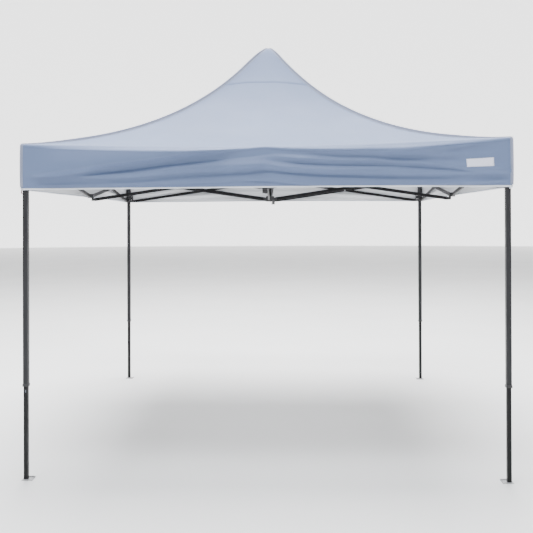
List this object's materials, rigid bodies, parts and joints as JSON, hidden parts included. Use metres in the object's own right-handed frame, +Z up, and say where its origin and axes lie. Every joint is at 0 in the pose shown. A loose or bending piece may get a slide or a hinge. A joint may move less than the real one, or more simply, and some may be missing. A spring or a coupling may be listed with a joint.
{
  "type": "pop-up canopy tent",
  "caption": "Square pop-up canopy tent: a swept roof with a valance on a folding scissor frame and telescopic legs with foot plates.",
  "frame": {"origin": "on the ground, midway between the four feet, under the peak", "axes": "+Z up, +X across the width, the front faces -Y"},
  "size_m": [2.946, 2.946, 2.945],
  "materials": {
    "canopy_fabric": "woven, coated",
    "charcoal_powder_coat": "satin powder coat",
    "black_powder_coat": "satin powder coat",
    "black_plastic": "moulded",
    "latch_plastic": "moulded",
    "plated_steel": "zinc plated"
  },
  "bodies": {
    "canopy_and_upper_hub": {"upper_hub": "black_plastic", "canopy": "canopy_fabric"},
    "arm_falling_front": {"arm_falling_front": "black_powder_coat"},
    "arm_rising_front": {"arm_rising_front": "black_powder_coat"},
    "mid_lower_front": {"mid_lower_front": "black_plastic"},
    "mid_upper_front": {"mid_upper_front": "black_plastic"},
    "lower_hub_and_post": {"lower_hub": "black_plastic", "king_post": "black_powder_coat"},
    "arm_falling_right": {"arm_falling_right": "black_powder_coat"},
    "arm_rising_right": {"arm_rising_right": "black_powder_coat"},
    "mid_lower_right": {"mid_lower_right": "black_plastic"},
    "mid_upper_right": {"mid_upper_right": "black_plastic"},
    "arm_falling_back": {"arm_falling_back": "black_powder_coat"},
    "arm_rising_back": {"arm_rising_back": "black_powder_coat"},
    "mid_lower_back": {"mid_lower_back": "black_plastic"},
    "mid_upper_back": {"mid_upper_back": "black_plastic"},
    "arm_falling_left": {"arm_falling_left": "black_powder_coat"},
    "arm_rising_left": {"arm_rising_left": "black_powder_coat"},
    "mid_lower_left": {"mid_lower_left": "black_plastic"},
    "mid_upper_left": {"mid_upper_left": "black_plastic"},
    "side_bar_falling_front_start": {"side_bar_falling_front_start": "black_powder_coat"},
    "side_bar_rising_front_start": {"side_bar_rising_front_start": "black_powder_coat"},
    "leg_front_left": {"outer_leg_front_left": "charcoal_powder_coat", "top_bracket_front_left": "black_plastic"},
    "slider_front_left": {"slider_front_left": "black_plastic"},
    "side_bar_falling_front_end": {"side_bar_falling_front_end": "black_powder_coat"},
    "side_bar_rising_front_end": {"side_bar_rising_front_end": "black_powder_coat"},
    "leg_front_right": {"outer_leg_front_right": "charcoal_powder_coat", "top_bracket_front_right": "black_plastic"},
    "slider_front_right": {"slider_front_right": "black_plastic"},
    "side_bar_falling_right_start": {"side_bar_falling_right_start": "black_powder_coat"},
    "side_bar_rising_right_start": {"side_bar_rising_right_start": "black_powder_coat"},
    "side_bar_falling_right_end": {"side_bar_falling_right_end": "black_powder_coat"},
    "side_bar_rising_right_end": {"side_bar_rising_right_end": "black_powder_coat"},
    "side_bar_falling_back_start": {"side_bar_falling_back_start": "black_powder_coat"},
    "side_bar_rising_back_start": {"side_bar_rising_back_start": "black_powder_coat"},
    "leg_back_right": {"outer_leg_back_right": "charcoal_powder_coat", "top_bracket_back_right": "black_plastic"},
    "slider_back_right": {"slider_back_right": "black_plastic"},
    "side_bar_falling_back_end": {"side_bar_falling_back_end": "black_powder_coat"},
    "side_bar_rising_back_end": {"side_bar_rising_back_end": "black_powder_coat"},
    "leg_back_left": {"outer_leg_back_left": "charcoal_powder_coat", "top_bracket_back_left": "black_plastic"},
    "slider_back_left": {"slider_back_left": "black_plastic"},
    "side_bar_falling_left_start": {"side_bar_falling_left_start": "black_powder_coat"},
    "side_bar_rising_left_start": {"side_bar_rising_left_start": "black_powder_coat"},
    "side_bar_falling_left_end": {"side_bar_falling_left_end": "black_powder_coat"},
    "side_bar_rising_left_end": {"side_bar_rising_left_end": "black_powder_coat"},
    "inner_leg_front_left": {"inner_leg_front_left": "black_powder_coat"},
    "slider_latch_front_left": {"slider_latch_front_left": "latch_plastic"},
    "leg_button_front_left": {"leg_button_front_left": "plated_steel"},
    "inner_leg_front_right": {"inner_leg_front_right": "black_powder_coat"},
    "slider_latch_front_right": {"slider_latch_front_right": "latch_plastic"},
    "leg_button_front_right": {"leg_button_front_right": "plated_steel"},
    "inner_leg_back_right": {"inner_leg_back_right": "black_powder_coat"},
    "slider_latch_back_right": {"slider_latch_back_right": "latch_plastic"},
    "leg_button_back_right": {"leg_button_back_right": "plated_steel"},
    "inner_leg_back_left": {"inner_leg_back_left": "black_powder_coat"},
    "slider_latch_back_left": {"slider_latch_back_left": "latch_plastic"},
    "leg_button_back_left": {"leg_button_back_left": "plated_steel"}
  },
  "joints": [
    {"name": "fold", "type": "hinge", "parent": "canopy_and_upper_hub", "child": "arm_falling_front", "pos_m": [0.0068, -0.045, 1.94], "axis": [1, 0, 0], "range_deg": [0, 79.63]},
    {"name": "mid_lower_front_turn", "type": "hinge", "parent": "arm_falling_front", "child": "mid_lower_front", "pos_m": [0.0068, -1.405, 1.74], "axis": [-1, 0, 0], "range_deg": [0, 79.63]},
    {"name": "arm_rising_front_turn", "type": "hinge", "parent": "arm_falling_front", "child": "arm_rising_front", "pos_m": [0, -0.725, 1.84], "axis": [-1, 0, 0], "range_deg": [0, 159.27]},
    {"name": "mid_upper_front_turn", "type": "hinge", "parent": "arm_rising_front", "child": "mid_upper_front", "pos_m": [-0.0068, -1.405, 1.94], "axis": [1, 0, 0], "range_deg": [0, 79.63]},
    {"name": "lower_hub_turn", "type": "hinge", "parent": "arm_rising_front", "child": "lower_hub_and_post", "pos_m": [-0.0068, -0.045, 1.74], "axis": [1, 0, 0], "range_deg": [0, 79.63]},
    {"name": "arm_falling_right_turn", "type": "hinge", "parent": "canopy_and_upper_hub", "child": "arm_falling_right", "pos_m": [0.045, 0.0068, 1.94], "axis": [0, 1, 0], "range_deg": [0, 79.63]},
    {"name": "mid_lower_right_turn", "type": "hinge", "parent": "arm_falling_right", "child": "mid_lower_right", "pos_m": [1.405, 0.0068, 1.74], "axis": [0, -1, 0], "range_deg": [0, 79.63]},
    {"name": "arm_rising_right_turn", "type": "hinge", "parent": "arm_falling_right", "child": "arm_rising_right", "pos_m": [0.725, 0, 1.84], "axis": [0, -1, 0], "range_deg": [0, 159.27]},
    {"name": "mid_upper_right_turn", "type": "hinge", "parent": "arm_rising_right", "child": "mid_upper_right", "pos_m": [1.405, -0.0068, 1.94], "axis": [0, 1, 0], "range_deg": [0, 79.63]},
    {"name": "arm_falling_back_turn", "type": "hinge", "parent": "canopy_and_upper_hub", "child": "arm_falling_back", "pos_m": [-0.0068, 0.045, 1.94], "axis": [-1, 0, 0], "range_deg": [0, 79.63]},
    {"name": "mid_lower_back_turn", "type": "hinge", "parent": "arm_falling_back", "child": "mid_lower_back", "pos_m": [-0.0068, 1.405, 1.74], "axis": [1, 0, 0], "range_deg": [0, 79.63]},
    {"name": "arm_rising_back_turn", "type": "hinge", "parent": "arm_falling_back", "child": "arm_rising_back", "pos_m": [0, 0.725, 1.84], "axis": [1, 0, 0], "range_deg": [0, 159.27]},
    {"name": "mid_upper_back_turn", "type": "hinge", "parent": "arm_rising_back", "child": "mid_upper_back", "pos_m": [0.0068, 1.405, 1.94], "axis": [-1, 0, 0], "range_deg": [0, 79.63]},
    {"name": "arm_falling_left_turn", "type": "hinge", "parent": "canopy_and_upper_hub", "child": "arm_falling_left", "pos_m": [-0.045, -0.0068, 1.94], "axis": [0, -1, 0], "range_deg": [0, 79.63]},
    {"name": "mid_lower_left_turn", "type": "hinge", "parent": "arm_falling_left", "child": "mid_lower_left", "pos_m": [-1.405, -0.0068, 1.74], "axis": [0, 1, 0], "range_deg": [0, 79.63]},
    {"name": "arm_rising_left_turn", "type": "hinge", "parent": "arm_falling_left", "child": "arm_rising_left", "pos_m": [-0.725, 0, 1.84], "axis": [0, 1, 0], "range_deg": [0, 159.27]},
    {"name": "mid_upper_left_turn", "type": "hinge", "parent": "arm_rising_left", "child": "mid_upper_left", "pos_m": [-1.405, 0.0068, 1.94], "axis": [0, -1, 0], "range_deg": [0, 79.63]},
    {"name": "side_bar_falling_front_start_turn", "type": "hinge", "parent": "mid_lower_front", "child": "side_bar_falling_front_start", "pos_m": [-0.03, -1.4432, 1.768], "axis": [0, 1, 0], "range_deg": [0, 79.63]},
    {"name": "side_bar_rising_front_start_turn", "type": "hinge", "parent": "side_bar_falling_front_start", "child": "side_bar_rising_front_start", "pos_m": [-0.71, -1.45, 1.868], "axis": [0, -1, 0], "range_deg": [0, 159.27]},
    {"name": "leg_front_left_turn", "type": "hinge", "parent": "side_bar_falling_front_start", "child": "leg_front_left", "pos_m": [-1.39, -1.4432, 1.968], "axis": [0, -1, 0], "range_deg": [0, 79.63]},
    {"name": "slider_front_left_turn", "type": "hinge", "parent": "side_bar_rising_front_start", "child": "slider_front_left", "pos_m": [-1.39, -1.4568, 1.768], "axis": [0, 1, 0], "range_deg": [0, 79.63]},
    {"name": "side_bar_falling_front_end_turn", "type": "hinge", "parent": "mid_lower_front", "child": "side_bar_falling_front_end", "pos_m": [0.03, -1.4432, 1.768], "axis": [0, -1, 0], "range_deg": [0, 79.63]},
    {"name": "side_bar_rising_front_end_turn", "type": "hinge", "parent": "side_bar_falling_front_end", "child": "side_bar_rising_front_end", "pos_m": [0.71, -1.45, 1.868], "axis": [0, 1, 0], "range_deg": [0, 159.27]},
    {"name": "leg_front_right_turn", "type": "hinge", "parent": "side_bar_falling_front_end", "child": "leg_front_right", "pos_m": [1.39, -1.4432, 1.968], "axis": [0, 1, 0], "range_deg": [0, 79.63]},
    {"name": "slider_front_right_turn", "type": "hinge", "parent": "side_bar_rising_front_end", "child": "slider_front_right", "pos_m": [1.39, -1.4568, 1.768], "axis": [0, -1, 0], "range_deg": [0, 79.63]},
    {"name": "side_bar_falling_right_start_turn", "type": "hinge", "parent": "mid_lower_right", "child": "side_bar_falling_right_start", "pos_m": [1.4432, -0.03, 1.768], "axis": [-1, 0, 0], "range_deg": [0, 79.63]},
    {"name": "side_bar_rising_right_start_turn", "type": "hinge", "parent": "side_bar_falling_right_start", "child": "side_bar_rising_right_start", "pos_m": [1.45, -0.71, 1.868], "axis": [1, 0, 0], "range_deg": [0, 159.27]},
    {"name": "side_bar_falling_right_end_turn", "type": "hinge", "parent": "mid_lower_right", "child": "side_bar_falling_right_end", "pos_m": [1.4432, 0.03, 1.768], "axis": [1, 0, 0], "range_deg": [0, 79.63]},
    {"name": "side_bar_rising_right_end_turn", "type": "hinge", "parent": "side_bar_falling_right_end", "child": "side_bar_rising_right_end", "pos_m": [1.45, 0.71, 1.868], "axis": [-1, 0, 0], "range_deg": [0, 159.27]},
    {"name": "side_bar_falling_back_start_turn", "type": "hinge", "parent": "mid_lower_back", "child": "side_bar_falling_back_start", "pos_m": [0.03, 1.4432, 1.768], "axis": [0, -1, 0], "range_deg": [0, 79.63]},
    {"name": "side_bar_rising_back_start_turn", "type": "hinge", "parent": "side_bar_falling_back_start", "child": "side_bar_rising_back_start", "pos_m": [0.71, 1.45, 1.868], "axis": [0, 1, 0], "range_deg": [0, 159.27]},
    {"name": "leg_back_right_turn", "type": "hinge", "parent": "side_bar_falling_back_start", "child": "leg_back_right", "pos_m": [1.39, 1.4432, 1.968], "axis": [0, 1, 0], "range_deg": [0, 79.63]},
    {"name": "slider_back_right_turn", "type": "hinge", "parent": "side_bar_rising_back_start", "child": "slider_back_right", "pos_m": [1.39, 1.4568, 1.768], "axis": [0, -1, 0], "range_deg": [0, 79.63]},
    {"name": "side_bar_falling_back_end_turn", "type": "hinge", "parent": "mid_lower_back", "child": "side_bar_falling_back_end", "pos_m": [-0.03, 1.4432, 1.768], "axis": [0, 1, 0], "range_deg": [0, 79.63]},
    {"name": "side_bar_rising_back_end_turn", "type": "hinge", "parent": "side_bar_falling_back_end", "child": "side_bar_rising_back_end", "pos_m": [-0.71, 1.45, 1.868], "axis": [0, -1, 0], "range_deg": [0, 159.27]},
    {"name": "leg_back_left_turn", "type": "hinge", "parent": "side_bar_falling_back_end", "child": "leg_back_left", "pos_m": [-1.39, 1.4432, 1.968], "axis": [0, -1, 0], "range_deg": [0, 79.63]},
    {"name": "slider_back_left_turn", "type": "hinge", "parent": "side_bar_rising_back_end", "child": "slider_back_left", "pos_m": [-1.39, 1.4568, 1.768], "axis": [0, 1, 0], "range_deg": [0, 79.63]},
    {"name": "side_bar_falling_left_start_turn", "type": "hinge", "parent": "mid_lower_left", "child": "side_bar_falling_left_start", "pos_m": [-1.4432, 0.03, 1.768], "axis": [1, 0, 0], "range_deg": [0, 79.63]},
    {"name": "side_bar_rising_left_start_turn", "type": "hinge", "parent": "side_bar_falling_left_start", "child": "side_bar_rising_left_start", "pos_m": [-1.45, 0.71, 1.868], "axis": [-1, 0, 0], "range_deg": [0, 159.27]},
    {"name": "side_bar_falling_left_end_turn", "type": "hinge", "parent": "mid_lower_left", "child": "side_bar_falling_left_end", "pos_m": [-1.4432, -0.03, 1.768], "axis": [-1, 0, 0], "range_deg": [0, 79.63]},
    {"name": "side_bar_rising_left_end_turn", "type": "hinge", "parent": "side_bar_falling_left_end", "child": "side_bar_rising_left_end", "pos_m": [-1.45, -0.71, 1.868], "axis": [1, 0, 0], "range_deg": [0, 159.27]},
    {"name": "leg_height_front_left", "type": "slide", "parent": "leg_front_left", "child": "inner_leg_front_left", "axis": [0, 0, 1], "range_m": [0, 0.5]},
    {"name": "slider_latch_front_left_pull", "type": "slide", "parent": "slider_front_left", "child": "slider_latch_front_left", "axis": [0, 1, 0], "range_m": [0, 0.008], "stiffness_N_per_m": 400, "springref_m": -0.004},
    {"name": "leg_button_front_left_press", "type": "slide", "parent": "leg_front_left", "child": "leg_button_front_left", "axis": [1, 0, 0], "range_m": [0, 0.003], "stiffness_N_per_m": 600, "springref_m": -0.003},
    {"name": "leg_height_front_right", "type": "slide", "parent": "leg_front_right", "child": "inner_leg_front_right", "axis": [0, 0, 1], "range_m": [0, 0.5]},
    {"name": "slider_latch_front_right_pull", "type": "slide", "parent": "slider_front_right", "child": "slider_latch_front_right", "axis": [0, 1, 0], "range_m": [0, 0.008], "stiffness_N_per_m": 400, "springref_m": -0.004},
    {"name": "leg_button_front_right_press", "type": "slide", "parent": "leg_front_right", "child": "leg_button_front_right", "axis": [-1, 0, 0], "range_m": [0, 0.003], "stiffness_N_per_m": 600, "springref_m": -0.003},
    {"name": "leg_height_back_right", "type": "slide", "parent": "leg_back_right", "child": "inner_leg_back_right", "axis": [0, 0, 1], "range_m": [0, 0.5]},
    {"name": "slider_latch_back_right_pull", "type": "slide", "parent": "slider_back_right", "child": "slider_latch_back_right", "axis": [0, -1, 0], "range_m": [0, 0.008], "stiffness_N_per_m": 400, "springref_m": -0.004},
    {"name": "leg_button_back_right_press", "type": "slide", "parent": "leg_back_right", "child": "leg_button_back_right", "axis": [-1, 0, 0], "range_m": [0, 0.003], "stiffness_N_per_m": 600, "springref_m": -0.003},
    {"name": "leg_height_back_left", "type": "slide", "parent": "leg_back_left", "child": "inner_leg_back_left", "axis": [0, 0, 1], "range_m": [0, 0.5]},
    {"name": "slider_latch_back_left_pull", "type": "slide", "parent": "slider_back_left", "child": "slider_latch_back_left", "axis": [0, -1, 0], "range_m": [0, 0.008], "stiffness_N_per_m": 400, "springref_m": -0.004},
    {"name": "leg_button_back_left_press", "type": "slide", "parent": "leg_back_left", "child": "leg_button_back_left", "axis": [1, 0, 0], "range_m": [0, 0.003], "stiffness_N_per_m": 600, "springref_m": -0.003}
  ],
  "couplings": [
    {"joint": "mid_lower_front_turn", "follows": "fold", "ratio": 1},
    {"joint": "arm_rising_front_turn", "follows": "fold", "ratio": 2},
    {"joint": "mid_upper_front_turn", "follows": "fold", "ratio": 1},
    {"joint": "lower_hub_turn", "follows": "fold", "ratio": 1},
    {"joint": "arm_falling_right_turn", "follows": "fold", "ratio": 1},
    {"joint": "mid_lower_right_turn", "follows": "fold", "ratio": 1},
    {"joint": "arm_rising_right_turn", "follows": "fold", "ratio": 2},
    {"joint": "mid_upper_right_turn", "follows": "fold", "ratio": 1},
    {"joint": "arm_falling_back_turn", "follows": "fold", "ratio": 1},
    {"joint": "mid_lower_back_turn", "follows": "fold", "ratio": 1},
    {"joint": "arm_rising_back_turn", "follows": "fold", "ratio": 2},
    {"joint": "mid_upper_back_turn", "follows": "fold", "ratio": 1},
    {"joint": "arm_falling_left_turn", "follows": "fold", "ratio": 1},
    {"joint": "mid_lower_left_turn", "follows": "fold", "ratio": 1},
    {"joint": "arm_rising_left_turn", "follows": "fold", "ratio": 2},
    {"joint": "mid_upper_left_turn", "follows": "fold", "ratio": 1},
    {"joint": "side_bar_falling_front_start_turn", "follows": "fold", "ratio": 1},
    {"joint": "side_bar_rising_front_start_turn", "follows": "fold", "ratio": 2},
    {"joint": "leg_front_left_turn", "follows": "fold", "ratio": 1},
    {"joint": "slider_front_left_turn", "follows": "fold", "ratio": 1},
    {"joint": "side_bar_falling_front_end_turn", "follows": "fold", "ratio": 1},
    {"joint": "side_bar_rising_front_end_turn", "follows": "fold", "ratio": 2},
    {"joint": "leg_front_right_turn", "follows": "fold", "ratio": 1},
    {"joint": "slider_front_right_turn", "follows": "fold", "ratio": 1},
    {"joint": "side_bar_falling_right_start_turn", "follows": "fold", "ratio": 1},
    {"joint": "side_bar_rising_right_start_turn", "follows": "fold", "ratio": 2},
    {"joint": "side_bar_falling_right_end_turn", "follows": "fold", "ratio": 1},
    {"joint": "side_bar_rising_right_end_turn", "follows": "fold", "ratio": 2},
    {"joint": "side_bar_falling_back_start_turn", "follows": "fold", "ratio": 1},
    {"joint": "side_bar_rising_back_start_turn", "follows": "fold", "ratio": 2},
    {"joint": "leg_back_right_turn", "follows": "fold", "ratio": 1},
    {"joint": "slider_back_right_turn", "follows": "fold", "ratio": 1},
    {"joint": "side_bar_falling_back_end_turn", "follows": "fold", "ratio": 1},
    {"joint": "side_bar_rising_back_end_turn", "follows": "fold", "ratio": 2},
    {"joint": "leg_back_left_turn", "follows": "fold", "ratio": 1},
    {"joint": "slider_back_left_turn", "follows": "fold", "ratio": 1},
    {"joint": "side_bar_falling_left_start_turn", "follows": "fold", "ratio": 1},
    {"joint": "side_bar_rising_left_start_turn", "follows": "fold", "ratio": 2},
    {"joint": "side_bar_falling_left_end_turn", "follows": "fold", "ratio": 1},
    {"joint": "side_bar_rising_left_end_turn", "follows": "fold", "ratio": 2}
  ]
}
